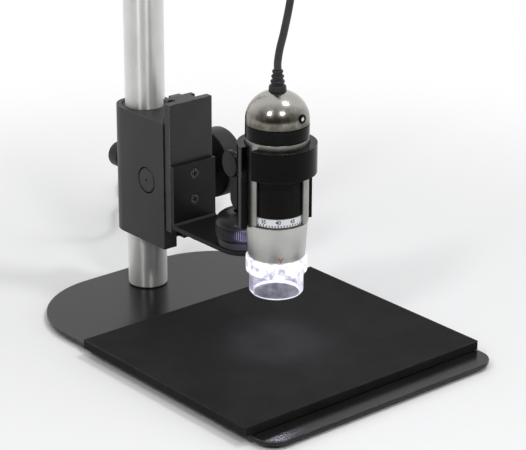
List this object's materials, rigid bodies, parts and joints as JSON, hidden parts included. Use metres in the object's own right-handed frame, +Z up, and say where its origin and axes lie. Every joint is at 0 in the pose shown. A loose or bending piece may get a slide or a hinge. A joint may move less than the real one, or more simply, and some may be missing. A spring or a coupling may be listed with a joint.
{
  "type": "usb digital microscope",
  "caption": "Hand-held digital microscope in a tilting clip on a pole stand with rack focus, swivel head, stage pad and coiled cable.",
  "frame": {"origin": "centre of the stand's outline, on the surface that its feet stand on", "axes": "+Z up along the pole; the front of the base plate faces -Y, the focus knob is on +X"},
  "size_m": [0.1916, 0.3519, 0.2745],
  "materials": {
    "plate_paint": "dark grey semi-gloss paint",
    "matte_black": "matte black",
    "black_rubber": "matte",
    "satin_aluminium": "satin",
    "black_anodised": "black anodised, satin",
    "black_plastic": "glossy black",
    "steel": "turned",
    "blackened_steel": "blackened",
    "brass": "machined",
    "black_nylon": "black nylon",
    "polished_gunmetal": "dark polished plating",
    "silver_paint": "satin silver paint",
    "gloss_black": "gloss black",
    "white_scale": "white with plain marks",
    "clear_plastic": "clear moulded",
    "optical_glass": "polished",
    "circuit_board": "solder mask"
  },
  "bodies": {
    "stand": {"base_plate": "plate_paint", "foot_front_left": "black_rubber", "foot_front_right": "black_rubber", "foot_middle_left": "black_rubber", "foot_middle_right": "black_rubber", "foot_back_left": "black_rubber", "foot_back_right": "black_rubber", "stage_pad": "matte_black", "pole": "satin_aluminium", "pole_screw": "steel", "cable": "black_rubber", "cable_coil": "black_rubber", "cable_tie": "black_rubber", "usb_plug_grip": "black_rubber", "usb_plug_shell": "steel", "usb_plug_tongue": "black_plastic"},
    "bushes": {"upper_bush": "black_nylon", "lower_bush": "black_nylon"},
    "carriage": {"carriage_body": "black_anodised", "bearing_plug": "black_anodised", "bearing_sleeve": "brass"},
    "clamp_handle": {"clamp_knob": "black_plastic"},
    "clamp_pin": {"clamp_screw": "steel"},
    "slide_and_arm": {"focus_slide": "black_anodised", "rack": "blackened_steel", "l_bracket": "black_anodised", "bracket_screw_upper": "blackened_steel", "bracket_screw_lower": "blackened_steel", "head_screw": "blackened_steel", "pivot_base": "black_anodised", "friction_washer": "black_nylon"},
    "focus_drive": {"pinion_shaft": "steel", "focus_knob": "black_plastic", "knob_grub_screw": "steel"},
    "lock_collar": {"lock_ring": "black_plastic"},
    "swivel_stem": {"pan_stem": "black_plastic", "tilt_bolt": "blackened_steel"},
    "tilt_handle": {"tilt_knob": "black_plastic"},
    "clip": {"holder": "black_plastic"},
    "microscope": {"barrel": "silver_paint", "nose_cone": "silver_paint", "camera_board": "circuit_board", "image_chip": "black_plastic", "barrel_band": "gloss_black", "dome_housing": "polished_gunmetal", "touch_button": "gloss_black", "strain_relief": "black_rubber", "led_board": "circuit_board"},
    "dial": {"focus_dial": "black_plastic", "scale_ring": "white_scale"},
    "lens_cell": {"lens_carrier": "black_anodised", "lens": "optical_glass"},
    "cap": {"clear_cap": "clear_plastic"}
  },
  "joints": [
    {"name": "carriage_height", "type": "slide", "parent": "stand", "child": "bushes", "axis": [0, 0, 1], "range_m": [-0.008, 0.155], "deforming": ["cable"]},
    {"name": "carriage_swivel", "type": "hinge", "parent": "bushes", "child": "carriage", "pos_m": [0.00198, 0.08445, 0.073], "axis": [0, 0, 1], "range_deg": [-180, 180]},
    {"name": "clamp_turn", "type": "hinge", "parent": "carriage", "child": "clamp_handle", "pos_m": [0.00198, 0.08445, 0.073], "axis": [0, 1, 0], "range_deg": [0, 360]},
    {"name": "clamp_pin_slide", "type": "slide", "parent": "carriage", "child": "clamp_pin", "axis": [0, 1, 0], "range_m": [0, 0.0007]},
    {"name": "focus_height", "type": "slide", "parent": "carriage", "child": "slide_and_arm", "axis": [0, 0, 1], "range_m": [-0.01, 0.015]},
    {"name": "focus_turn", "type": "hinge", "parent": "carriage", "child": "focus_drive", "pos_m": [0.00198, 0.06455, 0.073], "axis": [-1, 0, 0], "range_deg": [-120, 180]},
    {"name": "lock_ring_turn", "type": "hinge", "parent": "slide_and_arm", "child": "lock_collar", "pos_m": [0.00198, 0.00095, 0.05345], "axis": [0, 0, 1], "range_deg": [0, 120]},
    {"name": "head_pan", "type": "hinge", "parent": "slide_and_arm", "child": "swivel_stem", "pos_m": [0.00198, 0.00095, 0.05345], "axis": [0, 0, 1], "range_deg": [-92, 107]},
    {"name": "tilt_knob_turn", "type": "hinge", "parent": "swivel_stem", "child": "tilt_handle", "pos_m": [0.00198, 0.00095, 0.09785], "axis": [-0.9914, 0.1305, 0], "range_deg": [0, 360]},
    {"name": "holder_tilt", "type": "hinge", "parent": "swivel_stem", "child": "clip", "pos_m": [0.00198, 0.00095, 0.09785], "axis": [-0.9914, 0.1305, 0], "range_deg": [0, 45]},
    {"name": "scope_slide", "type": "slide", "parent": "clip", "child": "microscope", "axis": [0, 0, 1], "range_m": [-0.005, 0.025]},
    {"name": "dial_turn", "type": "hinge", "parent": "microscope", "child": "dial", "pos_m": [-0.00202, -0.02939, 0.09235], "axis": [0, 0, 1], "range_deg": [-60, 240]},
    {"name": "lens_slide", "type": "slide", "parent": "microscope", "child": "lens_cell", "axis": [0, 0, 1], "range_m": [-0.0013, 0.0049]},
    {"name": "cap_pull", "type": "slide", "parent": "microscope", "child": "cap", "axis": [0, 0, -1], "range_m": [0, 0.02]}
  ],
  "couplings": [
    {"joint": "clamp_turn", "follows": "clamp_pin_slide", "rad_per_m": 8975.5},
    {"joint": "focus_turn", "follows": "focus_height", "rad_per_m": 208.33},
    {"joint": "lens_slide", "follows": "dial_turn", "m_per_rad": 0.0011459}
  ]
}
